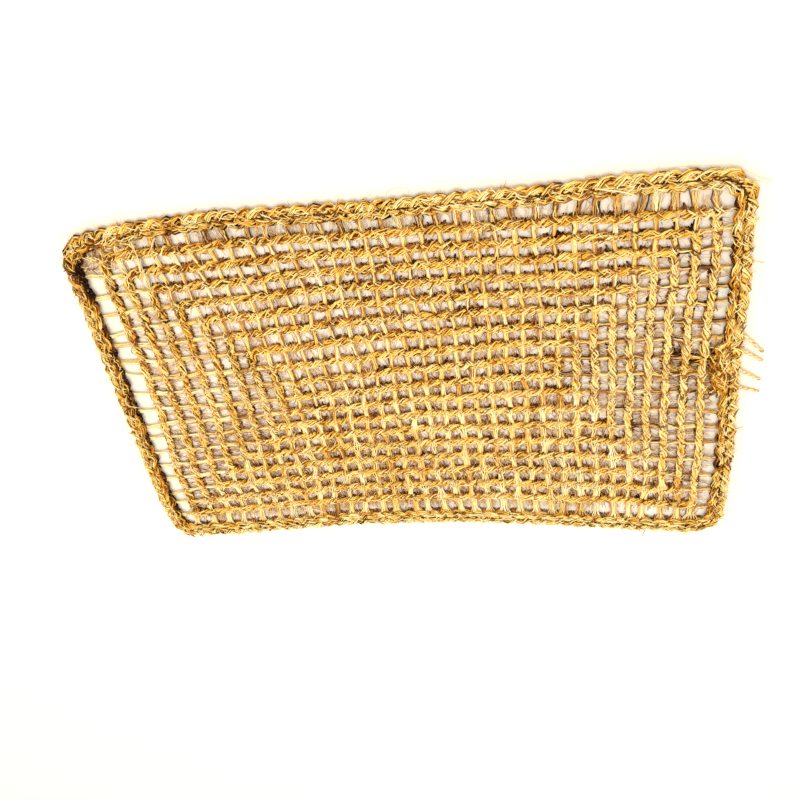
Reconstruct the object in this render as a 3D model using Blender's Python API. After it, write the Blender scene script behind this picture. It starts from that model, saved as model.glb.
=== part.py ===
"""Straw mat: an open net of straw cord in nested rounds, inside a plaited straw border.

The mat lies flat. +X runs along its long side, +Y across it and +Z up, with the origin
under the middle of the whole mat.
"""

import math

import bmesh
import bpy
from mathutils import Vector

# The mat as a plain rectangle, before its edges bow, in metres.
MAT_WIDTH = 0.700
MAT_DEPTH = 0.433

# How far each edge of the real mat lies outside that rectangle, in metres. The long edges
# are read from left to right and the short ones from back to front, at even steps.
EDGE_BOWS = {
    #         start    quarter  middle   3/4      end
    "back":  (0.0085, 0.0180, 0.0165, 0.0130, 0.0100),
    "front": (0.0065, -0.0060, -0.0140, -0.0050, 0.0060),
    "left":  (0.0050, 0.0060, 0.0110, 0.0165, 0.0140),
    "right": (0.0055, 0.0055, 0.0045, 0.0065, 0.0020),
}

# The net is a frame of courses, one inside the other, held apart by short posts. The
# courses and posts stand at about one and a half times their real spacing and width.
ROUNDS = 6
COLUMNS = 23
ROWS = 2 * ROUNDS + 1
COURSE_WIDTH = 0.0115
POST_WIDTH = 0.0080
EDGE_STRAW_WIDTH = 0.0024
COURSE_HEIGHT = 0.0075
CORD_SIDE_HEIGHT = 0.0032
EDGE_STRAW_HEIGHT = 0.0040
COLUMN_DRIFT = 0.11
ROW_DRIFT = 0.09
WOBBLE = 0.0011

# The border is one flat plait of three strands, with its ends joined at the right.
BORDER_WIDTH = 0.021
BORDER_BASE_WIDTH = 0.0165
BORDER_HEIGHT = 0.0112
BORDER_SIDE_HEIGHT = 0.0046
PLAIT_VALLEY_HEIGHT = 0.0074
PLAIT_DIP = 0.0024
PLAIT_PINCH = 0.0012
PLAIT_STITCH = 0.0170
PLAIT_SLANT = 0.0060
CORNER_RADII = {"back_right": 0.020, "front_right": 0.017, "front_left": 0.017, "back_left": 0.030}

# Four cut cord ends stick out of the border at the right, from its edge to their tips.
END_RADIUS = 0.0022
END_ROOT_DEPTH = 0.0090
END_ROOT_HEIGHT = 0.0036
LOOSE_ENDS = [
    # root x  root y    tip x   tip y
    (0.3567, 0.0538, 0.3754, 0.0331),
    (0.3583, 0.0361, 0.3756, 0.0229),
    (0.3586, 0.0117, 0.3760, -0.0005),
    (0.3560, -0.0073, 0.3766, -0.0158),
]

GAP = 0.0003


def bow(edge, share):
    """How far an edge lies outside the rectangle at a share of its length, on a smooth curve."""
    bows = EDGE_BOWS[edge]
    place = min(max(share, 0.0), 1.0) * (len(bows) - 1)
    step = min(int(place), len(bows) - 2)
    t = place - step
    low, high = bows[step], bows[step + 1]
    before = bows[step - 1] if step > 0 else 2 * low - high
    after = bows[step + 2] if step + 2 < len(bows) else 2 * high - low
    return 0.5 * (
        2 * low
        + (high - before) * t
        + (2 * before - 5 * low + 4 * high - after) * t * t
        + (3 * low - before - 3 * high + after) * t ** 3
    )


def laid(x, y, z):
    """Where a point of the plain rectangle lies on the mat with its bowed edges."""
    across = x / MAT_WIDTH + 0.5
    forward = 0.5 - y / MAT_DEPTH
    x += bow("right", forward) * across - bow("left", forward) * (1 - across)
    y += bow("back", across) * (1 - forward) - bow("front", across) * forward
    return Vector((x, y, z))


def straw(name, color, roughness):
    """A Principled material for dry straw."""
    material = bpy.data.materials.new(name)
    material.use_nodes = True
    principled = material.node_tree.nodes["Principled BSDF"]
    principled.inputs["Base Color"].default_value = (*color, 1.0)
    principled.inputs["Roughness"].default_value = roughness
    principled.inputs["Metallic"].default_value = 0.0
    return material


def add_object(name, mesh, collection, material):
    """An object in the given collection with its one material."""
    obj = bpy.data.objects.new(name, mesh)
    obj.data.materials.append(material)
    collection.objects.link(obj)
    return obj


def round_of(column, row):
    """The round that a gap of the net belongs to, counted inwards, with -1 for the border."""
    return min(column, COLUMNS - 1 - column, row, ROWS - 1 - row)


def inset_beside(column, row, next_column, next_row):
    """Half the width of the cord between two neighbouring gaps."""
    here = round_of(column, row)
    beyond = round_of(next_column, next_row)
    if beyond < 0:
        return EDGE_STRAW_WIDTH
    return (POST_WIDTH if here == beyond else COURSE_WIDTH) / 2


def build_net_panel(collection):
    """The net: a grid with a gap cut in each face, thickened down to a flat underside.

    A line between two gaps of one round is a post, and a line between two rounds is a
    course, which is wider.
    """
    half_x = MAT_WIDTH / 2 - BORDER_WIDTH - GAP
    half_y = MAT_DEPTH / 2 - BORDER_WIDTH - GAP
    bm = bmesh.new()
    bmesh.ops.create_grid(bm, x_segments=COLUMNS, y_segments=ROWS, size=0.5)
    gaps = {}
    for face in bm.faces:
        middle = face.calc_center_median()
        column = int((middle.x + 0.5) * COLUMNS)
        row = int((0.5 - middle.y) * ROWS)
        gaps[face] = (column, row)

    height = bm.verts.layers.float.new("height")
    for vert in bm.verts:
        across = vert.co.x + 0.5
        forward = 0.5 - vert.co.y
        inside = 16 * across * (1 - across) * forward * (1 - forward)
        at_edge = inside < 1e-6
        row_lean = ROW_DRIFT * (2 * across - 1)
        x = half_x * (2 * (across + COLUMN_DRIFT * across * (1 - across)) - 1)
        y = half_y * (1 - 2 * (forward - row_lean * forward * (1 - forward)))
        if not at_edge:
            x += WOBBLE * math.sin(41 * across + 9 * forward)
            y += WOBBLE * math.sin(29 * across - 17 * forward)
        vert.co = (x, y, 0.0)
        vert[height] = EDGE_STRAW_HEIGHT if at_edge else COURSE_HEIGHT

    # The border turns each corner on a curve, so the corners of the net are drawn in.
    for name, radius in CORNER_RADII.items():
        side_x = half_x if name.endswith("right") else -half_x
        side_y = half_y if name.startswith("back") else -half_y
        corner = min(bm.verts, key=lambda vert: (vert.co.x - side_x) ** 2 + (vert.co.y - side_y) ** 2)
        draw_in = (radius - BORDER_WIDTH / 2) * (1 - math.sqrt(0.5))
        corner.co.x -= math.copysign(draw_in, side_x)
        corner.co.y -= math.copysign(draw_in, side_y)

    rim_start = len(bm.verts)
    bmesh.ops.inset_individual(bm, faces=list(gaps), thickness=POST_WIDTH / 2, use_even_offset=True)
    bm.verts.ensure_lookup_table()
    for vert in bm.verts[rim_start:]:
        vert[height] = CORD_SIDE_HEIGHT
    for face, (column, row) in gaps.items():
        middle = face.calc_center_median()
        left = inset_beside(column, row, column - 1, row) - POST_WIDTH / 2
        right = inset_beside(column, row, column + 1, row) - POST_WIDTH / 2
        back = inset_beside(column, row, column, row - 1) - POST_WIDTH / 2
        front = inset_beside(column, row, column, row + 1) - POST_WIDTH / 2
        for vert in face.verts:
            vert.co.x += left if vert.co.x < middle.x else -right
            vert.co.y += front if vert.co.y < middle.y else -back
    bmesh.ops.delete(bm, geom=list(gaps), context="FACES_ONLY")

    raised = bmesh.ops.extrude_face_region(bm, geom=bm.faces[:])
    for item in raised["geom"]:
        if isinstance(item, bmesh.types.BMVert):
            item.co.z = item[height]
    for vert in bm.verts:
        vert.co = laid(*vert.co)
    bmesh.ops.recalc_face_normals(bm, faces=bm.faces[:])

    mesh = bpy.data.meshes.new("net_panel")
    bm.to_mesh(mesh)
    bm.free()
    return add_object("net_panel", mesh, collection, straw("net_straw", (0.66, 0.43, 0.13), 0.62))


def border_runs():
    """The border's middle line as straight runs and corner arcs: (length, radius of the arc)."""
    long_side = MAT_WIDTH - BORDER_WIDTH
    short_side = MAT_DEPTH - BORDER_WIDTH
    corners = [CORNER_RADII[name] for name in ("back_left", "back_right", "front_right", "front_left")]
    runs = []
    for index, radius in enumerate(corners):
        next_radius = corners[(index + 1) % 4]
        side = long_side if index % 2 == 0 else short_side
        runs.append((side - radius - next_radius, 0.0))
        runs.append((next_radius * math.pi / 2, next_radius))
    return runs


def border_place(distance):
    """Point and outward direction on the border's middle line, clockwise from the back left."""
    x = -MAT_WIDTH / 2 + BORDER_WIDTH / 2 + CORNER_RADII["back_left"]
    y = MAT_DEPTH / 2 - BORDER_WIDTH / 2
    place = Vector((x, y))
    heading = Vector((1.0, 0.0))
    for length, radius in border_runs():
        outward = Vector((-heading.y, heading.x))
        if radius == 0.0:
            step = min(distance, length)
            place = place + heading * step
        else:
            turn = min(distance, length) / radius
            centre = place - outward * radius
            outward = outward * math.cos(turn) + heading * math.sin(turn)
            place = centre + outward * radius
            heading = Vector((outward.y, -outward.x))
        if distance <= length:
            break
        distance -= length
    return place, outward


def add_loose_end(number, root_x, root_y, tip_x, tip_y, helpers):
    """One cut cord end as a tapered rod that lies on the floor and starts inside the border."""
    tip = Vector((tip_x, tip_y, END_RADIUS))
    edge = Vector((root_x, root_y, END_ROOT_HEIGHT))
    root = edge - (tip - edge).normalized() * END_ROOT_DEPTH
    root.z = END_ROOT_HEIGHT
    run = tip - root
    bpy.ops.mesh.primitive_cone_add(
        vertices=6,
        radius1=END_RADIUS,
        radius2=END_RADIUS * 0.8,
        depth=run.length,
        location=(root + tip) / 2,
        rotation=run.to_track_quat("Z", "Y").to_euler(),
    )
    end = bpy.context.object
    end.name = f"loose_end_{number}"
    end.hide_render = True
    end.display_type = "WIRE"
    for collection in end.users_collection:
        collection.objects.unlink(end)
    helpers.objects.link(end)
    return end


def build_border(collection, helpers):
    """The plaited border: a ring of seven-sided sections, two for each stitch of the plait.

    The crowns of the inner and outer strands rise in turn, and each section is swept back
    from its middle, so the stitches slant to a row of arrowheads.
    """
    length = sum(run_length for run_length, _ in border_runs())
    stations = 2 * round(length / PLAIT_STITCH)
    bpy.ops.mesh.primitive_torus_add(
        major_segments=stations, minor_segments=7, major_radius=1.0, minor_radius=0.1
    )
    ring = bpy.context.object
    mesh = ring.data
    half = BORDER_WIDTH / 2
    half_base = BORDER_BASE_WIDTH / 2
    crown = half * 0.52
    for index, vert in enumerate(mesh.vertices):
        station, point = divmod(index, 7)
        inner_low = PLAIT_DIP if station % 2 else 0.0
        outer_low = PLAIT_DIP - inner_low
        inner_pinch = PLAIT_PINCH if station % 2 else 0.0
        outer_pinch = PLAIT_PINCH - inner_pinch
        offset, z = (
            (half - outer_pinch, BORDER_SIDE_HEIGHT),
            (crown, BORDER_HEIGHT - outer_low),
            (0.0, PLAIT_VALLEY_HEIGHT),
            (-crown, BORDER_HEIGHT - inner_low),
            (-half + inner_pinch, BORDER_SIDE_HEIGHT),
            (-half_base, 0.0),
            (half_base, 0.0),
        )[point]
        sweep = PLAIT_SLANT * abs(offset) / half
        place, outward = border_place((station * length / stations - sweep) % length)
        place = place + outward * offset
        vert.co = laid(place.x, place.y, z)

    bm = bmesh.new()
    bm.from_mesh(mesh)
    bmesh.ops.recalc_face_normals(bm, faces=bm.faces[:])
    bm.to_mesh(mesh)
    bm.free()
    border = add_object("plaited_border", mesh, collection, straw("border_straw", (0.56, 0.34, 0.09), 0.66))
    bpy.data.objects.remove(ring)
    for number, (root_x, root_y, tip_x, tip_y) in enumerate(LOOSE_ENDS, start=1):
        joined = border.modifiers.new(f"loose_end_{number}", "BOOLEAN")
        joined.operation = "UNION"
        joined.solver = "EXACT"
        joined.object = add_loose_end(number, root_x, root_y, tip_x, tip_y, helpers)
    return border


def centre_over_origin(parts, helpers):
    """Move everything so that the origin lies under the middle of the mat."""
    bpy.context.view_layer.update()
    shapes = bpy.context.evaluated_depsgraph_get()
    corners = [Vector(c) for part in parts for c in part.evaluated_get(shapes).bound_box]
    middle_x = (min(c.x for c in corners) + max(c.x for c in corners)) / 2
    middle_y = (min(c.y for c in corners) + max(c.y for c in corners)) / 2
    for obj in [*parts, *helpers]:
        obj.location.x -= middle_x
        obj.location.y -= middle_y


for obj in list(bpy.data.objects):
    bpy.data.objects.remove(obj, do_unlink=True)

mat_parts = bpy.data.collections.new("straw_mat")
join_helpers = bpy.data.collections.new("join_helpers")
join_helpers.hide_render = True
bpy.context.scene.collection.children.link(mat_parts)
bpy.context.scene.collection.children.link(join_helpers)

net_panel = build_net_panel(mat_parts)
plaited_border = build_border(mat_parts, join_helpers)
centre_over_origin([net_panel, plaited_border], list(join_helpers.objects))
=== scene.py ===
import bpy
import numpy as np
from mathutils import Matrix, Vector


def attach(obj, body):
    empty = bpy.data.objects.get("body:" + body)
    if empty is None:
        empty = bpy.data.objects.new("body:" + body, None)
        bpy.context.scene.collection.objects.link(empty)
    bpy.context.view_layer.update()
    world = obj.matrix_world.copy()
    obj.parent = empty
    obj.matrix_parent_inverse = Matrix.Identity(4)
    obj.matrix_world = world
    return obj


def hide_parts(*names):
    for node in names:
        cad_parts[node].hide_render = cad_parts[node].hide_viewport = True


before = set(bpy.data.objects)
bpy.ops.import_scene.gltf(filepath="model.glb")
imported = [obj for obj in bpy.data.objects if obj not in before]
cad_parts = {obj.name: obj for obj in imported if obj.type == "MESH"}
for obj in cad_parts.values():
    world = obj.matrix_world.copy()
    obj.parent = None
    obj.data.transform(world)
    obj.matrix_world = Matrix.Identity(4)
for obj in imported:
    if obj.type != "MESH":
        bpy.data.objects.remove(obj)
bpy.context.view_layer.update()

# The net's courses. A single straw cord of two twisted plies runs round the mat in nine
# nested rectangles, and each ply is a loose bundle of dry golden blades. The cord is laid
# by hand, so its rounds waver, and blade ends work loose all along it.
COLUMNS = 34
ROWS = 19
ROUNDS = 9
CROSSINGS_X = np.array([
    (-307.8, -193.2, -77.8, 24.0, 120.1, 221.2, 316.1),
    (-309.2, -187.2, -77.0, 26.2, 123.0, 219.2, 316.6),
    (-312.8, -188.8, -77.4, 23.8, 119.6, 217.3, 312.6),
    (-322.7, -192.6, -82.3, 18.9, 117.8, 216.1, 315.1),
    (-325.9, -197.6, -86.8, 18.1, 119.0, 217.3, 314.3),
]) / 1000
CROSSINGS_Y = np.array([
    (192.2, 195.5, 193.6, 190.5, 187.7, 184.6, 181.0),
    (100.0, 104.1, 109.5, 111.1, 108.8, 104.9, 103.6),
    (3.5, 6.2, 13.4, 19.8, 23.2, 21.5, 14.3),
    (-92.8, -79.5, -71.8, -69.0, -69.9, -74.5, -81.7),
    (-184.2, -171.7, -163.2, -160.4, -163.1, -170.5, -180.5),
]) / 1000
ROUND_CORNER = 0.5  # In gaps.
COURSE_STEPS_PER_GAP = 4
COURSE_BLADE_STEPS = (4, 12)
COURSE_HEIGHT = 0.0045
PLY_REACH = (0.0015, 0.0010)
PLY_BLADES = 9
BLADE_REACH = (0.0025, 0.0017)
BLADE_SIZE = (0.0017, 0.0011)
# The height, thickness in blades and tone of the dark straw inside each course: a core of brown
# straw, and lower down a wider, darker band, which is painted shade along the cord's lower edges.
COURSE_CORES = ((0.0042, 3.3, 0.30), (0.0024, 4.6, 0.16))
# Where the side courses turn paler, and the length over which they do.
PALE_RIGHT = (0.17, 0.06)
# The slow and the quick waver of the crossings.
NET_WAVER = (0.0007, 0.0005)
# How every run of straw is made: the waves of its wander and their usual height together,
# how thin a blade's last two points are, how far a loose tip stands off, and the blade's
# three-cornered section, with its size as drawn and its share below the blade's line.
WANDER_WAVES = 6
WANDER_CREST = 2.4
TIP_SIZES = (0.2, 0.85)
LOOSE_TIP_REACH = (-0.0034, 0.0036)
SECTION_CORNERS = 3
SECTION_RADIUS = 0.5
SECTION_SIZE = (0.866, 0.75)
SECTION_BELOW = 0.52
FLOOR_GAP = 0.0002
CORNER_POINTS = 24


def smooth_between(before, low, high, after, t):
    """The value a share t of the way from low to high, on a smooth curve through all four."""
    return 0.5 * (
        2 * low
        + (high - before) * t
        + (2 * before - 5 * low + 4 * high - after) * t**2
        + (3 * low - before - 3 * high + after) * t**3
    )


def table_value(table, along, down):
    """A place in a table of measured values, smoothly between its entries."""
    padded = np.pad(table, 1, mode="reflect", reflect_type="odd")
    i = np.clip(along.astype(int), 0, table.shape[1] - 2)
    j = np.clip(down.astype(int), 0, table.shape[0] - 2)
    rows = [smooth_between(*(padded[j + n, i + m] for m in range(4)), along - i) for n in range(4)]
    return smooth_between(*rows, down - j)


def net_place(column, row):
    """Where a crossing of the net lies, or any place between crossings."""
    column = np.asarray(column, float)
    row = np.asarray(row, float)
    along = (column - 1) / (COLUMNS - 2) * (CROSSINGS_X.shape[1] - 1)
    down = (row - 1) / (ROWS - 2) * (CROSSINGS_X.shape[0] - 1)
    x = table_value(CROSSINGS_X, along, down)
    y = table_value(CROSSINGS_Y, along, down)
    slow, quick = NET_WAVER
    x = x + slow * np.sin(1.13 * row + 0.31 * column) + quick * np.sin(2.1 * row - 0.7 * column)
    y = y + slow * np.sin(0.81 * column - 0.5 * row) + quick * np.sin(1.7 * column + 0.9 * row)
    return np.stack([x, y], axis=-1)


def closed_up(values):
    """The values round a closed line, with the first one again at the end."""
    return np.concatenate([values, values[:1]])


def ring_line(width, depth, radii, count):
    """Even points round a rectangle with round corners, clockwise from its back left corner."""
    corners = np.array([(0, 0), (width, 0), (width, depth), (0, depth)], float)
    turn = np.linspace(0, np.pi / 2, CORNER_POINTS)[:, None]
    dense = []
    for index, radius in enumerate(radii):
        corner = corners[index]
        towards = corners[index - 1] - corner
        away = corners[(index + 1) % 4] - corner
        towards = towards / np.linalg.norm(towards) * radius
        away = away / np.linalg.norm(away) * radius
        dense.append(corner + towards + away - away * np.cos(turn) - towards * np.sin(turn))
    dense = closed_up(np.concatenate(dense))
    along = np.concatenate([[0], np.cumsum(np.linalg.norm(np.diff(dense, axis=0), axis=1))])
    wanted = np.arange(count) * along[-1] / count
    return np.stack([np.interp(wanted, along, dense[:, axis]) for axis in (0, 1)], axis=-1)


def sideways(line, closed=True):
    """The level direction to the left of a line's run, at each of its points."""
    if closed:
        run = np.roll(line, -1, axis=0) - np.roll(line, 1, axis=0)
    else:
        run = np.gradient(line, axis=0)
    run = run[:, :2] / np.linalg.norm(run[:, :2], axis=1)[:, None]
    return np.stack([-run[:, 1], run[:, 0]], axis=-1)


def wander(rng, count, reach, turns):
    """A smooth closed wander of about the given reach, with up to the given turns in a round."""
    place = np.arange(count) / count * 2 * np.pi
    total = np.zeros(count)
    for turn in rng.integers(2, max(3, turns), WANDER_WAVES):
        total += np.sin(turn * place + rng.uniform(0, 2 * np.pi))
    return total * reach / WANDER_CREST


def ramp(value, start, span):
    """0 up to the start and 1 from a span beyond it on. A negative span runs downwards."""
    return np.clip((value - start) / span, 0, 1)


def heading(angle):
    """The level direction at an angle from +X."""
    return np.array([np.cos(angle), np.sin(angle)])


def bent_line(start, bend, end, heights):
    """The line of a short straw through three level places at these heights."""
    return np.column_stack([np.stack([start, bend, end]), heights])


def mixed_tone(rng, share, first, second):
    """A tone from the first range for this share of the straws, or else from the second."""
    return rng.uniform(*first) if rng.random() < share else rng.uniform(*second)


def cut_blades(rng, line, out, steps, tone, spread, loose, closed=True):
    """Cuts a run into blades of dry straw that overlap, with thin and often loose ends."""
    blades = []
    count = len(line)
    tone = np.broadcast_to(tone, count)
    start = int(rng.integers(0, count)) if closed else -int(rng.integers(0, steps[0]))
    end = start + count if closed else count - 2
    while start < end:
        length = int(min(rng.integers(*steps), count - 1))
        index = np.arange(start, start + length + 1)
        index = index % count if closed else index[(index >= 0) & (index < count)]
        start += length - 1
        if len(index) < 3:
            continue
        blade = line[index].copy()
        sizes = rng.uniform(0.72, 1.18) * rng.uniform(0.9, 1.1, len(index))
        sizes[[0, -1]] *= TIP_SIZES[0]
        sizes[[1, -2]] *= TIP_SIZES[1]
        for tip in (0, -1):
            if rng.random() < loose:
                lift = rng.uniform(*LOOSE_TIP_REACH)
                blade[tip, :2] += out[index[tip]] * lift
                blade[tip, 2] += abs(lift) * rng.uniform(0.0, 0.7)
        blades.append((blade, sizes, tone[index] + rng.normal(0, spread)))
    return blades


def blade_mesh(name, blades, width, thickness, twist="Z_UP"):
    """One mesh of many flat blades with a ridge, each swept along its own line, wide side up."""
    bpy.ops.object.select_all(action="DESELECT")
    bpy.ops.mesh.primitive_circle_add(vertices=SECTION_CORNERS, radius=SECTION_RADIUS)
    section = bpy.context.object
    section.scale = (width / SECTION_SIZE[0], thickness / SECTION_SIZE[1], 1)
    bpy.ops.object.transform_apply(scale=True)
    bpy.ops.object.convert(target="CURVE")
    lines = bpy.data.curves.new(name, "CURVE")
    lines.dimensions = "3D"
    lines.twist_mode = twist
    lines.bevel_mode = "OBJECT"
    lines.bevel_object = section
    for blade, sizes, _ in blades:
        spline = lines.splines.new("POLY")
        spline.points.add(len(blade) - 1)
        lowest = SECTION_BELOW * thickness * np.asarray(sizes) + FLOOR_GAP
        low = np.maximum(blade[:, 2], lowest)
        points = np.column_stack([blade[:, :2], low, np.ones(len(blade))])
        spline.points.foreach_set("co", points.ravel())
        spline.points.foreach_set("radius", sizes)
    piece = bpy.data.objects.new(name, lines)
    bpy.context.collection.objects.link(piece)
    bpy.ops.object.select_all(action="DESELECT")
    piece.select_set(True)
    bpy.context.view_layer.objects.active = piece
    bpy.ops.object.convert(target="MESH")
    bpy.ops.object.shade_smooth()
    piece = bpy.context.object
    tones = [
        np.repeat(np.broadcast_to(tone, len(blade)), SECTION_CORNERS) for blade, _, tone in blades
    ]
    tones = np.clip(np.concatenate(tones), 0.0, 1.0)
    piece.data.attributes.new("tone", "FLOAT", "POINT").data.foreach_set("value", tones)
    bpy.data.objects.remove(section)
    return piece


class Wire:
    """A socket of a material's nodes that can be used in sums."""

    def __init__(self, nodes, socket):
        self.nodes = nodes
        self.socket = socket

    def sum(self, operation, first, second):
        return self.nodes.add("ShaderNodeMath", {"operation": operation}, {0: first, 1: second})

    def __add__(self, other):
        return self.sum("ADD", self, other)

    def __radd__(self, other):
        return self.sum("ADD", other, self)

    def __sub__(self, other):
        return self.sum("SUBTRACT", self, other)

    def __mul__(self, other):
        return self.sum("MULTIPLY", self, other)


class Finish:
    """A material and its nodes."""

    def __init__(self, name):
        self.material = bpy.data.materials.new(name)
        self.material.use_nodes = True
        self.tree = self.material.node_tree
        self.tree.nodes.clear()

    def add(self, kind, settings=None, sockets=None, output=0):
        """A node of this kind with its settings and the values or links of its sockets."""
        node = self.tree.nodes.new(kind)
        for name, value in (settings or {}).items():
            if name == "stops":
                while len(node.color_ramp.elements) < len(value):
                    node.color_ramp.elements.new(0.5)
                for element, (position, color) in zip(node.color_ramp.elements, value):
                    element.position = position
                    element.color = (*color, 1.0)
            else:
                setattr(node, name, value)
        for name, value in (sockets or {}).items():
            socket = node.inputs[name]
            if isinstance(value, Wire):
                self.tree.links.new(value.socket, socket)
            else:
                socket.default_value = value
        return Wire(self, node.outputs[output])

    def shade(self, color, roughness, normal, settings):
        """The finish's shader, with its even values set on the shader itself."""
        sockets = {"Base Color": color, "Roughness": roughness, "Normal": normal, **settings}
        self.show(self.add("ShaderNodeBsdfPrincipled", {}, sockets))

    def show(self, shader):
        output = self.tree.nodes.new("ShaderNodeOutputMaterial")
        self.tree.links.new(shader.socket, output.inputs["Surface"])


STRAW_STOPS = [
    (0.00, (0.021, 0.005, 0.001)),
    (0.16, (0.122, 0.032, 0.003)),
    (0.32, (0.393, 0.124, 0.009)),
    (0.48, (0.711, 0.298, 0.023)),
    (0.64, (0.860, 0.489, 0.061)),
    (0.80, (0.902, 0.640, 0.146)),
    (1.00, (0.912, 0.764, 0.352)),
]


def straw_finish(name, stops, low_dirt_and_shade_tint, low_dirt_and_shade_reach, roughness):
    """Dry straw: a tone to each blade, blotched along its length, and darker and browner low down,
    painted shade near the floor with some dirt.
    """
    finish = Finish(name)
    place = finish.add("ShaderNodeTexCoord", output=3)
    tone = finish.add("ShaderNodeAttribute", {"attribute_name": "tone"}, output=2)

    def noise(scale, **more):
        return finish.add("ShaderNodeTexNoise", {}, {"Vector": place, "Scale": scale, **more})

    blotch = noise(110.0, Detail=3.0, Roughness=0.6)
    patch = noise(15.0, Detail=2.0)
    fibre = noise(900.0, Detail=2.0)
    shade = tone + (blotch - 0.5) * 0.44 + (patch - 0.5) * 0.40
    color = finish.add("ShaderNodeValToRGB", {"stops": stops}, {"Fac": shade})
    height = finish.add("ShaderNodeSeparateXYZ", {}, {"Vector": place}, output=2)
    # Painted shade, with some dirt: the colour is multiplied by a dark tint low down, near the
    # floor.
    low = finish.add(
        "ShaderNodeMapRange",
        {"interpolation_type": "SMOOTHSTEP"},
        {
            "Value": height,
            "From Min": low_dirt_and_shade_reach[0],
            "From Max": low_dirt_and_shade_reach[1],
            "To Min": 1.0,
            "To Max": 0.0,
        },
    )
    color = finish.add(
        "ShaderNodeMix",
        {"data_type": "RGBA", "blend_type": "MULTIPLY"},
        {"Factor": low, 6: color, 7: (*low_dirt_and_shade_tint, 1.0)},
        output=2,
    )
    bump = finish.add("ShaderNodeBump", {}, {"Strength": 0.35, "Distance": 0.0004, "Height": fibre})
    rough = roughness + (blotch - 0.5) * 0.25
    finish.shade(color, rough, bump, {"Specular IOR Level": 0.08})
    return finish.material


def nested_round(number, steps_per_gap):
    """The places, middle line and outward direction of one of the net's rounds."""
    wide, deep = COLUMNS - 2 * number, ROWS - 2 * number
    count = 2 * (wide + deep) * steps_per_gap
    path = ring_line(wide, deep, [ROUND_CORNER] * 4, count) + number
    middle = net_place(path[:, 0], path[:, 1])
    return path, middle, sideways(middle)


def course_blades(rounds, seed):
    """The blades of these rounds of cord."""
    rng = np.random.default_rng(seed)
    blades = []
    for number in rounds:
        path, middle, out = nested_round(number, COURSE_STEPS_PER_GAP)
        count = len(path)
        gaps = count // COURSE_STEPS_PER_GAP
        middle = middle + out * wander(rng, count, 0.0005, gaps)[:, None]
        turn = np.arange(count) / count * np.pi * gaps + wander(rng, count, 0.9, gaps // 3)
        knot = np.cos(2 * np.pi * np.arange(count) / COURSE_STEPS_PER_GAP)
        patch = wander(rng, count, 0.07, gaps // 2)
        front = 0.16 * ramp(path[:, 1] / ROWS, 0.4, 0.5)
        back = ramp(path[:, 1] / ROWS, 0.55, -0.5)
        back_left = back * ramp(path[:, 0] / COLUMNS, 0.7, -0.5)
        right = ramp(middle[:, 0], *PALE_RIGHT) * np.abs(out[:, 0])
        for ply in (0, 1):
            ply_turn = turn + np.pi * ply + wander(rng, count, 0.4, gaps // 2)
            for blade in range(PLY_BLADES):
                round_ply = 2 * np.pi * blade / PLY_BLADES + 1.25 * turn
                round_ply = round_ply + wander(rng, count, 0.9, gaps // 2)
                reach = BLADE_REACH[0] + 0.0007 * np.abs(np.cos(ply_turn))
                aside = PLY_REACH[0] * np.sin(ply_turn) + reach * np.sin(round_ply)
                wider = 1 + (0.16 + 0.12 * back) * knot
                wider = wider + 0.7 * front + 0.26 * back_left - 0.20 * right
                aside = aside * wider + wander(rng, count, 0.0005, gaps)
                height = PLY_REACH[1] * np.cos(ply_turn) + BLADE_REACH[1] * np.cos(round_ply)
                depth = 0.5 - 0.5 * height / (PLY_REACH[1] + BLADE_REACH[1])
                height = COURSE_HEIGHT + height + 0.0004 * knot
                height = height + wander(rng, count, 0.0004, gaps)
                line = np.column_stack([middle + out * aside[:, None], height])
                # Painted shade: blades that run low and deep in the cord are darker, as in its
                # creases and underside.
                tone = 0.88 - 0.50 * depth + patch - 0.09 * back - 0.05 * back_left + 0.23 * right
                blades += cut_blades(rng, line, out, COURSE_BLADE_STEPS, tone, 0.14, loose=0.45)
        # The second, lower and wider core is a dark band of painted shade under the cord.
        for height, size, shade in COURSE_CORES:
            core = np.column_stack([middle, height + wander(rng, count, 0.0003, gaps)])
            uneven = wander(rng, count, 0.10, gaps * 2)
            sizes = size * (1 + 0.10 * knot + front + 0.18 * back_left + uneven)
            shades = shade + front + 0.18 * right
            blades.append((closed_up(core), closed_up(sizes), closed_up(shades)))
    return blades


course_finish = straw_finish(
    "golden_cord",
    STRAW_STOPS,
    low_dirt_and_shade_tint=(0.42, 0.22, 0.12),
    low_dirt_and_shade_reach=(0.0006, 0.0044),
    roughness=0.50,
)
outer_courses = blade_mesh("outer_courses", course_blades(range(1, 4), seed=11), *BLADE_SIZE)
inner_courses = blade_mesh(
    "inner_courses", course_blades(range(4, ROUNDS + 1), seed=12), *BLADE_SIZE
)
for piece in (outer_courses, inner_courses):
    piece.data.materials.append(course_finish)
    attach(piece, "root")
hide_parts("net_panel")

# The wraps. Each course is whipped with short, brown blades that go down its sides between the
# posts, and they make the dark fringe at the edge of each gap. Their dark tone is partly weathered
# straw and partly painted shade on the sides of the courses, darker towards the back.
WRAPS_PER_GAP = 8
WRAP_LINE = ((0.0029, 0.0062), (0.0042, 0.0038), (0.0046, 0.0006))
WRAP_TAPER = np.array([0.7, 1.0, 0.7])
WRAP_SIZE = (0.0025, 0.0009)
WRAP_STOPS = [
    (0.00, (0.017, 0.004, 0.001)),
    (0.22, (0.102, 0.026, 0.005)),
    (0.45, (0.337, 0.116, 0.027)),
    (0.68, (0.654, 0.347, 0.131)),
    (1.00, (0.869, 0.640, 0.345)),
]


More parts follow.
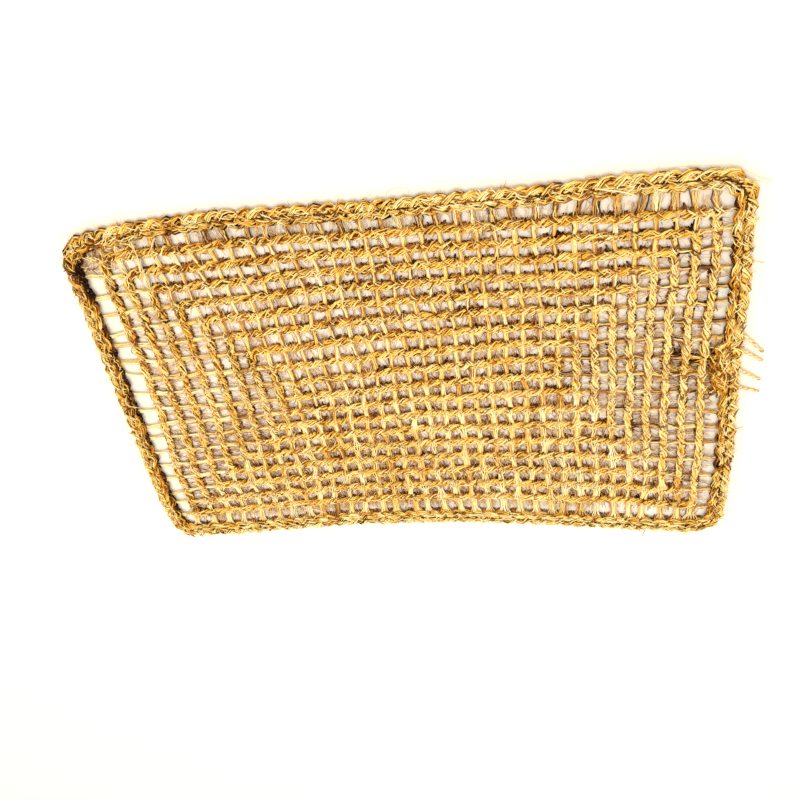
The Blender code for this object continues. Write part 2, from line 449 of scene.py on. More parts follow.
def wrap_blades(seed):
    """Short blades down both sides of every course, thick in some places and thin in others."""
    rng = np.random.default_rng(seed)
    blades = []
    for number in range(1, ROUNDS + 1):
        path, middle, out = nested_round(number, WRAPS_PER_GAP)
        count = len(path)
        shade = wander(rng, count, 0.13, count // 12)
        right = ramp(middle[:, 0], *PALE_RIGHT) * np.abs(out[:, 0])
        for side in (-1, 1):
            bush = wander(rng, count, 1.0, count // 8)
            for place in range(count):
                back = side * out[place][1]
                bare = max(0.6 * (back < -0.5), 0.45 * right[place])
                if bush[place] < -0.9 or rng.random() < bare:
                    continue
                front = path[place, 1] / ROWS
                along = np.array([out[place][1], -out[place][0]])
                shift = rng.uniform(-0.0016, 0.0016)
                slant = rng.uniform(-0.0048, 0.0048)
                flare = 0.0006 + 0.0009 * max(bush[place], 0)
                flare = flare + (0.0003 + 0.0010 * front) * (back > 0.5)
                foot = abs(rng.normal(0, flare))
                line = []
                for step, (aside, height) in enumerate(WRAP_LINE):
                    spot = middle[place] + out[place] * side * (aside + foot * step / 2)
                    spot = spot + along * (shift + slant * step / 2)
                    line.append((*spot, height * rng.uniform(0.85, 1.1)))
                # Painted shade: the wraps are darker towards the back of the mat, where the sides
                # of the courses lie in shade.
                tone = 0.36 + 0.10 * front + shade[place] + rng.normal(0, 0.15)
                blades.append((np.array(line), WRAP_TAPER * rng.uniform(0.6, 1.2), tone))
    return blades


course_wraps = blade_mesh("course_wraps", wrap_blades(seed=21), *WRAP_SIZE, "MINIMUM")
course_wraps.data.materials.append(
    straw_finish(
        "weathered_and_shaded_wraps",
        WRAP_STOPS,
        low_dirt_and_shade_tint=(0.66, 0.44, 0.30),
        low_dirt_and_shade_reach=(0.0004, 0.0036),
        roughness=0.62,
    )
)
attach(course_wraps, "root")

# The border. Three thick strands of straw are plaited flat into one long braid, which is bent round
# the net and sewn to it. Its stitches lie in a row of arrowheads, and brown straw fills the braid's
# inside. Its strands are painted darker low down, painted shade in the braid's creases, and they
# are darker towards the braid's inner side.
MAT_WIDTH = 0.700
MAT_DEPTH = 0.433
MAT_MIDDLE = (0.00533, 0.00703)
EDGE_BOWS = {
    "back": (0.0115, 0.0209, 0.0240, 0.0211, 0.0173, 0.0168, 0.0155, 0.0160, 0.0120),
    "front": (0.0045, 0.0000, -0.0090, -0.0166, -0.0197, -0.0177, -0.0113, -0.0031, 0.0020),
    "left": (0.0010, 0.0003, 0.0025, 0.0057, 0.0085, 0.0117, 0.0150, 0.0149, 0.0120),
    "right": (0.0050, 0.0046, 0.0058, 0.0052, 0.0052, 0.0074, 0.0082, 0.0062, 0.0015),
}
BORDER_INSET = 0.0105
BORDER_RADII = (0.031, 0.021, 0.018, 0.018)
BORDER_HEIGHT = 0.0056
DARK_CORNER = (-0.340, 0.178)
DARK_CORNER_REACH = 0.030
PLAIT_STRANDS = 3
PLAIT_STITCHES = 144
PLAIT_STEPS = 480
PLAIT_BLADE_STEPS = (6, 16)
PLAIT_CORE = (0.0045, 7.6, 0.09)  # Its height, thickness in blades and tone.
WEAVE_CREASE = 0.985  # How sharply a strand turns back at the braid's edge, under 1.
STRAND_REACH = (0.0066, 0.0013)
STRAND_BLADES = 20
STRAND_LAY = 16  # Steps in which a strand's blades wind once round it.
STRAND_SIZE = (0.0038, 0.0026)
STRAND_BLADE_SIZE = (0.0015, 0.0010)


def bow(edge, share):
    """How far an edge of the mat lies outside the plain rectangle, on a smooth curve."""
    spans = len(EDGE_BOWS[edge]) - 1
    bows = np.pad(EDGE_BOWS[edge], 1, mode="reflect", reflect_type="odd")
    place = np.clip(share, 0.0, 1.0) * spans
    step = np.minimum(place.astype(int), spans - 1)
    return smooth_between(*(bows[step + k] for k in range(4)), place - step)


def border_line(count):
    """The border's middle line on the mat, clockwise from the back left corner."""
    inside = (MAT_WIDTH - 2 * BORDER_INSET, MAT_DEPTH - 2 * BORDER_INSET)
    ring = ring_line(*inside, BORDER_RADII, count)
    x = ring[:, 0] - MAT_WIDTH / 2 + BORDER_INSET
    y = MAT_DEPTH / 2 - BORDER_INSET - ring[:, 1]
    across = x / MAT_WIDTH + 0.5
    forward = 0.5 - y / MAT_DEPTH
    moved_x = x + bow("right", forward) * across - bow("left", forward) * (1 - across)
    moved_y = y + bow("back", across) * (1 - forward) - bow("front", across) * forward
    return np.stack([moved_x - MAT_MIDDLE[0], moved_y - MAT_MIDDLE[1]], axis=-1)


def strand_blades(rng, middle, out, turn, size, tone, brown, steps, loose, closed=True):
    """The blades of one strand of a flat braid, whose middle line weaves from side to side."""
    count = len(middle)
    weave = STRAND_REACH[0] * size * np.arcsin(WEAVE_CREASE * np.sin(turn))
    aside = weave / np.arcsin(WEAVE_CREASE)
    height = BORDER_HEIGHT + STRAND_REACH[1] * np.sin(2 * turn)
    core = middle + out * aside[:, None]
    across = sideways(core, closed)
    blades = []
    for blade in range(STRAND_BLADES):
        round_strand = 2 * np.pi * (blade / STRAND_BLADES + np.arange(count) / STRAND_LAY)
        round_strand = round_strand + wander(rng, count, 0.6, count // 8)
        offset = STRAND_SIZE[0] * size * np.sin(round_strand)
        lift = STRAND_SIZE[1] * size * np.cos(round_strand)
        line = np.column_stack([core + across * offset[:, None], height + lift])
        line[:, 2] += wander(rng, count, 0.0004, count // 4)
        # Painted shade: blades low in the braid are darker, as in its creases. Blades towards the
        # braid's inner side are darker as well.
        depth = ramp(line[:, 2], 0.0092, -0.0060)
        inside = ramp(-aside - offset, 0, 0.008)
        shade = tone - 0.68 * depth - brown * inside
        blades += cut_blades(rng, line, out, steps, shade, 0.26, loose, closed)
    return blades


def border_blades(seed):
    """The blades of the three plaited strands, and the brown straw inside them."""
    rng = np.random.default_rng(seed)
    middle = border_line(PLAIT_STEPS)
    out = sideways(middle)
    place = np.arange(PLAIT_STEPS) / PLAIT_STEPS
    left = ramp(middle[:, 0], -0.27, -0.04)
    front = ramp(middle[:, 1], -0.14, -0.04)
    back_left = ramp(middle[:, 0], 0.10, -0.20) * (middle[:, 1] > 0.15)
    away = np.hypot(middle[:, 0] - DARK_CORNER[0], middle[:, 1] - DARK_CORNER[1])
    corner = np.clip(1.2 - away / DARK_CORNER_REACH, 0, 1)
    tone = 0.92 - 0.09 * left + 0.05 * front - 0.12 * back_left - 0.34 * corner
    tone = tone + wander(rng, PLAIT_STEPS, 0.11, 60)
    brown = 0.36 * np.abs(out[:, 0]) ** 2 + 0.22 * back_left + 0.06
    middle = middle - out * (0.0014 * left)[:, None]
    pace = 2 * np.pi * place * PLAIT_STITCHES / PLAIT_STRANDS + wander(rng, PLAIT_STEPS, 0.7, 16)
    blades = []
    for strand in range(PLAIT_STRANDS):
        turn = pace + 2 * np.pi * strand / PLAIT_STRANDS + wander(rng, PLAIT_STEPS, 0.18, 60)
        size = 1 + 0.13 * left + wander(rng, PLAIT_STEPS, 0.07, 50)
        blades += strand_blades(
            rng, middle, out, turn, size, tone, brown, PLAIT_BLADE_STEPS, loose=0.4
        )
    height, size, shade = PLAIT_CORE
    core = closed_up(np.column_stack([middle, np.full(PLAIT_STEPS, height)]))
    blades.append((core, np.full(len(core), size), shade))
    return blades


plaited_braid = blade_mesh("plaited_braid", border_blades(seed=41), *STRAND_BLADE_SIZE)
border_finish = straw_finish(
    "plait_straw",
    STRAW_STOPS,
    low_dirt_and_shade_tint=(0.36, 0.19, 0.10),
    low_dirt_and_shade_reach=(0.0006, 0.0054),
    roughness=0.50,
)
plaited_braid.data.materials.append(border_finish)
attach(plaited_braid, "root")
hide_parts("plaited_border")

# The join in the border. Where the braid's two ends meet at the right they lie side by side for a
# hand's breadth. Loose brown and golden ends are pushed in between and over them and run on into
# the net, and very dark straw lies low in the gaps beside them.
JOIN_LINE = (
    (0.3385, 0.0480),
    (0.3300, 0.0340),
    (0.3262, 0.0180),
    (0.3262, 0.0030),
    (0.3290, -0.0090),
    (0.3350, -0.0210),
)
JOIN_HOLES = ((0.3208, 0.0253), (0.3034, 0.0240), (0.2881, 0.0309))
JOIN_BLADE_STEPS = (5, 12)
JOIN_TOP_STRAWS = 90
JOIN_HOLE_STRAWS = 44
JOIN_NET_STRAWS = 80


def smooth_line(points, per_span):
    """A smooth line through points."""
    points = np.asarray(points, float)
    padded = np.pad(points, ((1, 1), (0, 0)), mode="reflect", reflect_type="odd")
    t = np.arange(per_span)[:, None] / per_span
    spans = [smooth_between(*padded[i : i + 4], t) for i in range(len(points) - 1)]
    return np.vstack([*spans, points[-1:]])


def join_blades(seed):
    """The second braid of the join, the loose ends over it and the dark straw beside it."""
    rng = np.random.default_rng(seed)
    middle = smooth_line(JOIN_LINE, 4)
    out = sideways(middle, closed=False)
    place = np.linspace(0, 1, len(middle))
    blades = []
    for strand in range(PLAIT_STRANDS):
        turn = 2 * np.pi * (place * 2.1 + strand / PLAIT_STRANDS)
        size = 0.74 - 0.22 * np.abs(2 * place - 1) ** 2
        blades += strand_blades(
            rng, middle, out, turn, size, 0.76, 0.3, JOIN_BLADE_STEPS, loose=0.5, closed=False
        )
    for _ in range(JOIN_TOP_STRAWS):
        spot = np.array([rng.uniform(0.3200, 0.3460), rng.uniform(-0.0220, 0.0460)])
        swing = np.pi / 2 + rng.choice((-0.6, 0.6)) + rng.normal(0, 0.35)
        reach = rng.uniform(0.004, 0.009) * heading(swing)
        bend = spot + rng.normal(0, 0.0012, 2)
        top = rng.uniform(0.0088, 0.0115)
        line = bent_line(spot - reach, bend, spot + reach, (top - 0.004, top, top - 0.004))
        tone = mixed_tone(rng, 0.6, (0.20, 0.50), (0.75, 1.0))
        blades.append((line, np.array([0.5, 1.1, 0.5]), tone))
    for hole in JOIN_HOLES:
        for _ in range(JOIN_HOLE_STRAWS):
            spot = np.array(hole) + rng.normal(0, 0.0036, 2)
            swing = rng.uniform(0, np.pi)
            reach = rng.uniform(0.002, 0.006) * heading(swing)
            heights = (0.0012, rng.uniform(0.002, 0.005), 0.0012)
            line = bent_line(spot - reach, spot, spot + reach, heights)
            blades.append((line, np.full(3, rng.uniform(0.4, 0.9)), rng.uniform(0.0, 0.22)))
    for _ in range(JOIN_NET_STRAWS):
        spot = np.array([rng.uniform(0.268, 0.322), rng.normal(0.010, 0.012)])
        swing = rng.normal(0, 0.5)
        reach = rng.uniform(0.005, 0.012) * heading(swing)
        bend = spot + rng.normal(0, 0.0012, 2)
        heights = (0.0030, rng.uniform(0.004, 0.008), 0.0034)
        line = bent_line(spot - reach, bend, spot + reach, heights)
        sizes = np.array([0.4, 0.8, 0.4]) * rng.uniform(0.5, 1.1)
        blades.append((line, sizes, rng.uniform(0.10, 0.75)))
    return blades


border_join = blade_mesh("border_join", join_blades(seed=42), *STRAND_BLADE_SIZE)
border_join.data.materials.append(border_finish)
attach(border_join, "root")

# The posts. Short bundles of pale, flat straw tie each course to the next and the first one
# to the border. They spread where they leave the cord and draw together between.
POST_SHARES = np.array([-0.17, 0.10, 0.38, 0.72, 1.03])
POST_HEIGHTS = np.array([0.0074, 0.0074, 0.0052, 0.0046, 0.0034])
POST_SPREAD = np.array([1.75, 1.45, 0.62, 0.66, 1.25])
POST_TAPER = np.array([0.4, 1, 1, 1, 0.7])
POST_SHADE = np.array([0.12, 0.04, 0, 0.02, 0.2])
# Towards the back the posts start nearer the gap and lower, the side posts lie lower, and
# the outermost ones start under the border.
BACK_POST_SHIFT = np.array([0.11, 0.03, 0, 0, 0])
BACK_POST_DROP = np.array([0.0018, 0.0012, 0, 0, 0])
SIDE_POST_DROP = (0.0018, 0.0018, 0.0006, 0, 0)
BORDER_POST_HEIGHTS = (0.0042, 0.0050)
POST_SIZE = (0.0017, 0.0010)
POST_STOPS = [
    (0.00, (0.047, 0.013, 0.003)),
    (0.25, (0.337, 0.107, 0.019)),
    (0.48, (0.711, 0.338, 0.058)),
    (0.68, (0.869, 0.559, 0.138)),
    (0.84, (0.902, 0.701, 0.267)),
    (1.00, (0.912, 0.782, 0.444)),
]


def post_places():
    """The two ends of every post and its round, the border's or outer course's end first."""
    posts = []
    for number in range(ROUNDS):
        inner = number + 1
        for column in range(inner, COLUMNS - number):
            posts.append(((column, number), (column, inner), number))
            posts.append(((column, ROWS - number), (column, ROWS - inner), number))
        for row in range(inner, ROWS - number):
            posts.append(((number, row), (inner, row), number))
            posts.append(((COLUMNS - number, row), (COLUMNS - inner, row), number))
    for column in range(ROUNDS + 1, COLUMNS - ROUNDS):
        posts.append(((column, ROUNDS), (column, ROUNDS + 1), ROUNDS))
    return posts


def post_blades(seed, upright):
    """The pale blades of the upright posts, which run across the mat, or of the others."""
    rng = np.random.default_rng(seed)
    border = border_line(PLAIT_STEPS)
    blades = []
    for outer, inner, number in post_places():
        if upright != (outer[0] == inner[0]):
            continue
        lean = rng.normal(0, 0.05)
        drift = np.array([lean, 0] if upright else [0, lean])
        end = net_place(*(np.array(inner) - drift))
        if number == 0:
            away = end - net_place(*(2 * np.array(inner) - np.array(outer)))
            reach = np.linalg.norm(border - end, axis=1).min() - 0.004
            start = end + away / np.linalg.norm(away) * reach
        else:
            start = net_place(*(np.array(outer) + drift))
            turned = 0.88 if start[1] < end[1] - 0.01 else 0.12 if upright else 0.5
            if rng.random() < turned:
                start, end = end, start
        front = np.clip(outer[1] / ROWS * 1.6 - 0.5, 0, 1)
        shares = POST_SHARES + (1 - front) * BACK_POST_SHIFT
        middle = start + (end - start) * shares[:, None]
        out = sideways(middle, closed=False)
        left = ramp(middle[2, 0], -0.20, -0.06)
        right = ramp(middle[2, 0], 0.16, 0.08)
        loose = number == 0 and middle[2, 1] > 0.15
        count = int(rng.integers(5, 9)) if upright else int(rng.integers(4, 8))
        count += 5 if loose else 0
        half = rng.uniform(0.0014, 0.0023)
        half *= 1 + 1.35 * front if upright else 1.3 - 0.45 * right - 0.25 * left
        half *= 1.8 if loose else 1
        bend = 1 + (POST_SPREAD - 1) * (0.35 + 0.65 * front)
        if upright:
            usual = 0.66 if number == 0 and middle[2, 1] > 0 else 0.90 + 0.05 * front
            base = rng.normal(usual, 0.11)
        else:
            base = rng.normal(0.80 - 0.09 * right + 0.16 * left, 0.12)
        for blade in range(count):
            aside = (blade / (count - 1) * 2 - 1) * half
            cross = rng.choice((-0.8, 0.2, 1.0)) if loose else 1
            offset = aside * bend * np.linspace(1, cross, len(middle))
            offset = offset + rng.normal(0, 0.0009 if loose else 0.0004, len(middle))
            height = POST_HEIGHTS + rng.normal(0, 0.0004, len(middle)) - 0.0006 * abs(aside) / half
            height = height - (1 - front) * BACK_POST_DROP
            if number == 0:
                height[:2] = BORDER_POST_HEIGHTS
            if not upright:
                height -= SIDE_POST_DROP
            line = np.column_stack([middle + out * offset[:, None], height])
            sizes = POST_TAPER * (rng.uniform(0.40, 0.85) if loose else rng.uniform(0.7, 1.2))
            # Painted shade: the outer blades of each post are darker, the shade along its sides,
            # less so towards the front and the left.
            edge = (0.44 - 0.20 * front) * (1 - 0.8 * left) * (abs(aside) / half) ** 2
            spread = 0.26 if loose else 0.14 + 0.08 * right
            tone = base + rng.normal(0, spread) - edge - POST_SHADE
            blades.append((line, sizes, tone))
    return blades


upright_posts = blade_mesh("upright_posts", post_blades(seed=31, upright=True), *POST_SIZE)
side_posts = blade_mesh("side_posts", post_blades(seed=32, upright=False), *POST_SIZE)
post_finish = straw_finish(
    "pale_posts",
    POST_STOPS,
    low_dirt_and_shade_tint=(0.50, 0.28, 0.15),
    low_dirt_and_shade_reach=(0.0006, 0.0040),
    roughness=0.52,
)
for piece in (upright_posts, side_posts):
    piece.data.materials.append(post_finish)
    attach(piece, "root")

# The knots. Where a post meets a course its straws are turned over the cord, so bright
# slanting strokes lie across the course at each crossing.
KNOT_STROKES = 5
KNOT_SIZE = (0.0014, 0.0009)


def knot_blades(seed):
    """Short slanting blades over the courses at their crossings with the posts."""
    rng = np.random.default_rng(seed)
    blades = []
    for outer, inner, _ in post_places():
        spot = net_place(*inner)
        across = spot - net_place(*outer)
        across = across / np.linalg.norm(across)
        run = np.array([across[1], -across[0]])
        for _ in range(KNOT_STROKES):
            side = rng.choice((-1, 1))
            start = spot + run * rng.uniform(-0.0090, 0.0060) + across * rng.normal(0, 0.0010)
            end = start + run * rng.uniform(0.0040, 0.0080)
            end = end + across * side * rng.uniform(0.0030, 0.0046)
            top = rng.uniform(0.0074, 0.0084)
            heights = (top - 0.0008, top, top - rng.uniform(0.0015, 0.0030))
            line = bent_line(start, (start + end) / 2, end, heights)
            tone = mixed_tone(rng, 0.8, (0.78, 1.0), (0.2, 0.5))
            blades.append((line, np.array([0.6, 1.1, 0.5]) * rng.uniform(0.7, 1.2), tone))
    return blades


course_knots = blade_mesh("course_knots", knot_blades(seed=33), *KNOT_SIZE)
course_knots.data.materials.append(course_finish)
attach(course_knots, "root")

# Stray straw in the net. Thin ends and broken fibres that were never tucked in cross the
# gaps and stick out of the cords all over the net. A few long pale straws lie on top.
GAP_FIBRES = 12000
EDGE_FIBRES = 800
COURSE_STRAWS = 900
FIBRE_TAPER = np.array([0.8, 1, 0.8])
STRAY_NET_SIZE = (0.0012, 0.0008)
LONG_STRAWS = (
    ((0.1485, -0.0900, 0.0092), (0.1527, -0.1070, 0.0098), (0.1569, -0.1233, 0.0092)),
    ((0.1735, -0.1067, 0.0090), (0.1750, -0.1160, 0.0096), (0.1767, -0.1254, 0.0090)),
    ((-0.0746, -0.0858, 0.0090), (-0.0704, -0.0920, 0.0096), (-0.0663, -0.0983, 0.0090)),
    ((-0.1680, -0.1700, 0.0092), (-0.1520, -0.1755, 0.0100), (-0.1370, -0.1817, 0.0100)),
    ((-0.2319, 0.2135, 0.0110), (-0.2376, 0.2060, 0.0104), (-0.2433, 0.1990, 0.0080)),
    ((-0.2600, 0.2120, 0.0110), (-0.2604, 0.1800, 0.0094), (-0.2598, 0.1520, 0.0090)),
)


def gap_fibres(rng):
    """Thin fibres low in the gaps, more of them and thicker towards the mat's front."""
    blades = []
    for _ in range(GAP_FIBRES):
        column = rng.uniform(0.8, 10 if rng.random() < 0.03 else COLUMNS - 0.5)
        row = 0.5 + (ROWS - 1) * rng.random() ** 0.64
        nearest = min(column, COLUMNS - column, row, ROWS - row)
        swing = rng.normal(0, 0.4) + (np.pi / 2 if nearest in (row, ROWS - row) else 0)
        spot = net_place(column, row)
        reach = rng.uniform(0.005, 0.010) * heading(swing)
        bend = spot + rng.normal(0, 0.0005, 2)
        heights = (0.0026, rng.uniform(0.0006, 0.0026), 0.0034)
        line = bent_line(spot - reach, bend, spot + reach, heights)
        brown = rng.random() < 0.34 * ramp(row, 8, 4)
        tone = rng.normal(0.44, 0.11) if brown else rng.normal(0.84, 0.15)
        wide = rng.uniform(0.20, 0.58) + 0.011 * row
        wide *= 0.62 if column > 25 and rng.random() < 0.5 else 1
        blades.append((line, FIBRE_TAPER * wide, tone))
    return blades


def edge_fibres(rng):
    """Pale fibres across the outermost gaps along the back edge and the front edge."""
    blades = []
    for _ in range(EDGE_FIBRES):
        back = rng.random() < 0.35
        column = rng.uniform(1, COLUMNS - 1) if back else rng.uniform(2, COLUMNS - 7)
        start = net_place(column, rng.uniform(0.0, 0.3) if back else rng.uniform(18.1, 18.4))
        column = column + rng.normal(0, 0.25)
        end = net_place(column, rng.uniform(0.7, 1.0) if back else rng.uniform(18.7, 19.0))
        bend = (start + end) / 2 + rng.normal(0, 0.0010, 2)
        line = bent_line(start, bend, end, (0.0040, rng.uniform(0.001, 0.005), 0.0036))
        sizes = FIBRE_TAPER * rng.uniform(0.30, 0.70)
        blades.append((line, sizes, rng.normal(0.88, 0.16)))
    return blades


def course_straws(rng):
    """Short straws that stick out of the courses, most of them on the outer rounds."""
    shares = np.arange(ROUNDS, 0, -1)
    shares = shares / shares.sum()
    blades = []
    for _ in range(COURSE_STRAWS):
        number = int(rng.choice(ROUNDS, p=shares)) + 1
        wide, deep = COLUMNS - 2 * number, ROWS - 2 * number
        along = rng.uniform(0, 1)
        side = rng.integers(0, 4)
        sides = [(along * wide, 0), (wide, along * deep), (along * wide, deep), (0, along * deep)]
        spot = net_place(sides[side][0] + number, sides[side][1] + number)
        swing = rng.normal(0, 0.6) + (0.8 if rng.random() < 0.7 else -0.8)
        swing += np.pi / 2 if side in (1, 3) else 0
        spot = spot + rng.normal(0, 0.0022, 2)
        reach = rng.uniform(0.003, 0.0075) * heading(swing)
        bend = rng.normal(0, 0.0008, (2, 2))
        top = rng.uniform(0.0070, 0.0086)
        line = [
            (*(spot - reach), top - rng.uniform(0.0005, 0.0035)),
            (*(spot - reach / 3 + bend[0]), top),
            (*(spot + reach / 3 + bend[1]), top),
            (*(spot + reach), top - rng.uniform(0.0005, 0.0035)),
        ]
        tone = mixed_tone(rng, 0.7, (0.75, 1.0), (0.2, 0.5))
        blades.append((np.array(line), np.array([0.5, 1, 1, 0.4]) * rng.uniform(0.6, 1.3), tone))
    return blades


def long_straw(points, size, ends, tone):
    """One long straw through these points, with thin ends."""
    line = smooth_line(points, 3)
    sizes = np.full(len(line), size)
    sizes[[0, -1]] = ends
    return line, sizes, tone


def stray_net_blades(seed):
    """Fibres low in the gaps, short straws over the courses, and the long ones on the net."""
    rng = np.random.default_rng(seed)
    blades = gap_fibres(rng) + edge_fibres(rng) + course_straws(rng)
    for straw in LONG_STRAWS:
        blades.append(long_straw(straw, 1.25, (0.6, 0.5), 0.97))
    return blades


stray_net_straw = blade_mesh("stray_net_straw", stray_net_blades(seed=51), *STRAY_NET_SIZE)
stray_net_straw.data.materials.append(
    straw_finish(
        "stray_straw",
        WRAP_STOPS,
        low_dirt_and_shade_tint=(1.0, 0.82, 0.66),
        low_dirt_and_shade_reach=(0.0004, 0.0030),
        roughness=0.55,
    )
)
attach(stray_net_straw, "root")

# Stray straw of the border. Loose blades lie along the braid, hairs stick out of it all
# round, and a few long ones stand off the back edge and the left edge. Tangled ends fill
# its back left corner, and brown blades hang down its inner side along the front.
BRAID_STRAWS = 1100
BRAID_TOP = 0.0104
BRAID_CURVE = 46  # How fast the braid's top falls off to its sides, per metre.
EDGE_HAIRS = 420
HAIR_SHARES = (0, 0.4, 0.75, 1)
CORNER_ENDS = 130
FRONT_FRINGE = 520
STRAY_BORDER_SIZE = (0.0012, 0.0009)
LONG_HAIRS = (
    (
        (0.0185, 0.2240, 0.0080),
        (0.0175, 0.2310, 0.0120),
        (0.0210, 0.2365, 0.0140),
        (0.0290, 0.2380, 0.0130),
        (0.0362, 0.2366, 0.0110),
        (0.0388, 0.2325, 0.0090),
        (0.0385, 0.2240, 0.0070),
    ),
    (
        (0.2480, 0.2200, 0.0100),
        (0.2579, 0.2275, 0.0130),
        (0.2767, 0.2302, 0.0150),
        (0.2975, 0.2292, 0.0150),
        (0.3183, 0.2260, 0.0140),
        (0.3350, 0.2188, 0.0120),
        (0.3454, 0.2125, 0.0100),
        (0.3579, 0.2052, 0.0060),
    ),
    ((0.3420, 0.2100, 0.0100), (0.3500, 0.2070, 0.0090), (0.3560, 0.2035, 0.0060)),
    ((-0.3060, 0.2180, 0.0060), (-0.3090, 0.2260, 0.0080), (-0.3120, 0.2320, 0.0090)),
    ((-0.2930, 0.2220, 0.0060), (-0.2945, 0.2290, 0.0090), (-0.2960, 0.2370, 0.0100)),
    ((-0.2600, 0.2240, 0.0060), (-0.2640, 0.2310, 0.0090), (-0.2700, 0.2370, 0.0100)),
    ((-0.3560, 0.0380, 0.0050), (-0.3630, 0.0395, 0.0060), (-0.3690, 0.0400, 0.0060)),
)
PALE_BORDER_STRAW = (
    (0.2080, 0.2170, 0.0112),
    (0.2200, 0.2145, 0.0120),
    (0.2330, 0.2110, 0.0112),
    (0.2454, 0.2052, 0.0085),
)


def braid_straws(rng, middle, out, run):
    """Loose blades that lie along the braid's stitches."""
    blades = []
    for _ in range(BRAID_STRAWS):
        place = int(rng.integers(0, len(middle)))
        aside = rng.uniform(-0.0078, 0.0078)
        swing = -0.42 * np.sign(aside) + rng.normal(0, 0.30)
        direction = run[place] * np.cos(swing) + out[place] * np.sin(swing)
        start = middle[place] + out[place] * aside
        length = rng.uniform(0.007, 0.018)
        share = np.linspace(-0.5, 0.5, 5)[:, None]
        line = start + direction * share * length + rng.normal(0, 0.0006, (5, 2))
        height = BRAID_TOP + rng.uniform(-0.0010, 0.0010) - BRAID_CURVE * aside**2
        height = height - 0.0020 * (2 * share[:, 0]) ** 2
        tone = mixed_tone(rng, 0.62, (0.62, 1.0), (0.10, 0.5))
        sizes = np.array([0.3, 1, 1.1, 1, 0.3]) * rng.uniform(0.7, 1.3)
        blades.append((np.column_stack([line, height]), sizes, tone))
    return blades


def edge_hairs(rng, middle, out, run):
    """Short hairs that stick out of both sides of the braid."""
    blades = []
    for _ in range(EDGE_HAIRS):
        place = int(rng.integers(0, len(middle)))
        side = 1 if rng.random() < 0.68 else -1
        swing = rng.normal(0, 0.8)
        direction = out[place] * side * np.cos(swing) + run[place] * np.sin(swing)
        start = middle[place] + out[place] * side * 0.0070
        length = rng.gamma(2.2, 0.0022)
        lift = rng.uniform(-0.1, 0.5)
        base = rng.uniform(0.0025, 0.0085)
        line = [
            (*(start + direction * length * s), base + lift * length * s - 0.35 * length * s * s)
            for s in HAIR_SHARES
        ]
        sizes = np.array([1, 0.9, 0.7, 0.35]) * rng.uniform(0.35, 0.85)
        blades.append((np.array(line), sizes, rng.uniform(0.2, 0.9)))
    return blades


def corner_ends(rng):
    """The tangled ends of straw inside the back left corner."""
    blades = []
    for _ in range(CORNER_ENDS):
        if rng.random() < 0.5:
            spot = np.array([rng.uniform(-0.336, -0.285), rng.uniform(0.182, 0.212)])
            swing = rng.uniform(0, np.pi)
        else:
            spot = np.array([rng.uniform(-0.30, -0.262), rng.normal(0.2090, 0.0040)])
            swing = rng.normal(0, 0.5)
        reach = rng.uniform(0.004, 0.011) * heading(swing)
        bend = spot + rng.normal(0, 0.0014, 2)
        heights = (0.0030, rng.uniform(0.003, 0.008), 0.0034)
        line = bent_line(spot - reach, bend, spot + reach, heights)
        tone = mixed_tone(rng, 0.45, (0.15, 0.5), (0.65, 1.0))
        blades.append((line, np.array([0.6, 1, 0.6]) * rng.uniform(0.8, 1.6), tone))
    return blades


def front_fringe(rng, middle, out, run):
    """Brown blades down the inner side of the border along the front edge."""
    blades = []
    for _ in range(FRONT_FRINGE):
        place = int(rng.choice(np.flatnonzero(out[:, 1] < -0.8)))
        shift = run[place] * rng.uniform(-0.0024, 0.0024)
        foot = 0.0098 + abs(rng.normal(0, 0.0012))
        line = bent_line(
            middle[place] - out[place] * 0.0064,
            middle[place] - out[place] * 0.0088 + shift,
            middle[place] - out[place] * foot + shift * 2,
            (rng.uniform(0.0068, 0.0088), rng.uniform(0.0036, 0.0056), 0.0008),
        )
        sizes = np.array([0.7, 1, 0.6]) * rng.uniform(0.8, 1.5)
        blades.append((line, sizes, rng.uniform(0.10, 0.44)))
    return blades


def stray_border_blades(seed):
    """The loose straw, hairs, tangled ends and fringe of the border, and its long hairs."""
    rng = np.random.default_rng(seed)
    middle = border_line(PLAIT_STEPS * 4)
    out = sideways(middle)
    run = np.stack([out[:, 1], -out[:, 0]], axis=-1)
    blades = braid_straws(rng, middle, out, run) + edge_hairs(rng, middle, out, run)
    blades += corner_ends(rng) + front_fringe(rng, middle, out, run)
    for hair in LONG_HAIRS:
        line = smooth_line(hair, 4)
        blades.append((line, np.full(len(line), 0.36), 0.62))
    blades.append(long_straw(PALE_BORDER_STRAW, 1.3, (0.5, 0.5), 1.0))
    return blades


stray_border_straw = blade_mesh(
    "stray_border_straw", stray_border_blades(seed=52), *STRAY_BORDER_SIZE
)
stray_border_straw.data.materials.append(post_finish)
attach(stray_border_straw, "root")

# The loose ends. Four ends of two-ply cord come out of the border's outer side at the right
# and are cut short. They droop to the floor.
LOOSE_ENDS = (
    ((0.3567, 0.0538), (0.3754, 0.0331)),
    ((0.3583, 0.0361), (0.3756, 0.0229)),
    ((0.3586, 0.0117), (0.3760, -0.0005)),
    ((0.3560, -0.0073), (0.3766, -0.0158)),
)
END_POINTS = 12
END_PLY_BLADES = 4
END_BLADE_SIZE = (0.0010, 0.0008)


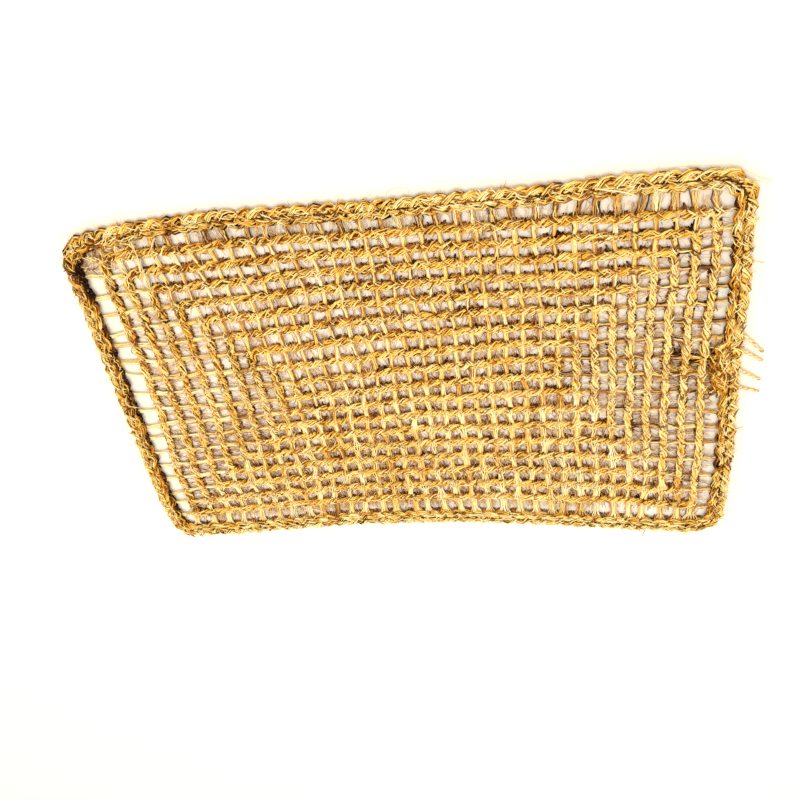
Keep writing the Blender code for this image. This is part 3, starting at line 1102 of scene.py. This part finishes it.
def loose_end_blades(seed):
    """The blades of the four cut ends."""
    rng = np.random.default_rng(seed)
    blades = []
    for root, tip in LOOSE_ENDS:
        root, tip = np.array(root) - MAT_MIDDLE, np.array(tip) - MAT_MIDDLE
        root = root + (root - tip) * 0.35
        share = np.linspace(0, 1, END_POINTS)
        line = root + (tip - root) * share[:, None] * 0.985
        height = 0.0022 + 0.0036 * (1 - share) ** 1.6
        across = sideways(line, closed=False)
        for ply in (0, 1):
            turn = 2 * np.pi * share * 2.4 + np.pi * ply
            for blade in range(END_PLY_BLADES):
                round_ply = 2 * np.pi * (blade / END_PLY_BLADES + share)
                aside = 0.0009 * np.sin(turn) + 0.0006 * np.sin(round_ply)
                aside = aside + rng.normal(0, 0.0001, END_POINTS)
                lift = 0.0006 * np.cos(turn) + 0.0005 * np.cos(round_ply)
                blade_line = np.column_stack([line + across * aside[:, None], height + lift])
                cut = END_POINTS - int(rng.integers(0, 2))
                # Painted shade: a ply's blades are darker where the twist turns them under the
                # cord.
                tone = 1.0 - 0.42 * (np.cos(turn) < -0.2) + rng.normal(0, 0.06)
                blades.append((blade_line[:cut], np.full(cut, rng.uniform(0.8, 1.1)), tone[:cut]))
    return blades


loose_ends = blade_mesh("loose_ends", loose_end_blades(seed=61), *END_BLADE_SIZE)
loose_ends.data.materials.append(post_finish)
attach(loose_ends, "root")

# The floor: a plain pale surface that the mat lies on.
FLOOR_COLOR = (0.88, 0.79, 0.63, 1.0)
bpy.ops.object.select_all(action="DESELECT")
bpy.ops.mesh.primitive_plane_add(size=8.0)
floor = bpy.context.object
floor.name = "floor"
floor_finish = Finish("pale_floor")
floor_finish.show(
    floor_finish.add(
        "ShaderNodeBsdfPrincipled",
        {},
        {"Base Color": FLOOR_COLOR, "Roughness": 0.9, "Specular IOR Level": 0.1},
    )
)
floor.data.materials.append(floor_finish.material)

# Soft studio light: a bright white room, and one broad lamp high over the mat.
world = bpy.data.worlds.new("studio")
world.use_nodes = True
world.node_tree.nodes["Background"].inputs["Color"].default_value = (1.0, 1.0, 1.0, 1.0)
world.node_tree.nodes["Background"].inputs["Strength"].default_value = 1.38
bpy.context.scene.world = world
bpy.ops.object.light_add(type="AREA", location=(-0.1, 0.0, 2.0))
lamp = bpy.context.object
lamp.name = "broad_lamp"
lamp.data.shape = "DISK"
lamp.data.size = 1.2
lamp.data.energy = 12.5
lamp.rotation_euler = (Vector((0, 0, 0)) - lamp.location).to_track_quat("-Z", "Y").to_euler()

# The camera stands beyond the back edge and looks down and forwards, held upside down, so
# the back edge is at the top of the picture.
FOCAL_LENGTH = 744.65  # In pixels of the picture.
PICTURE_WIDTH = 800
SENSOR_WIDTH = 36.0
bpy.ops.object.camera_add()
camera = bpy.context.object
camera.name = "camera"
camera.matrix_world = Matrix(
    (
        (0.97463, 0.04377, 0.21945, 0.17611),
        (-0.16343, 0.80910, 0.56450, 0.46978),
        (-0.15285, -0.58604, 0.79572, 0.68163),
        (0, 0, 0, 1),
    )
)
camera.data.sensor_width = SENSOR_WIDTH
camera.data.lens = FOCAL_LENGTH * SENSOR_WIDTH / PICTURE_WIDTH
camera.data.clip_start = 0.01
bpy.context.scene.camera = camera
bpy.context.scene.view_settings.view_transform = "Standard"
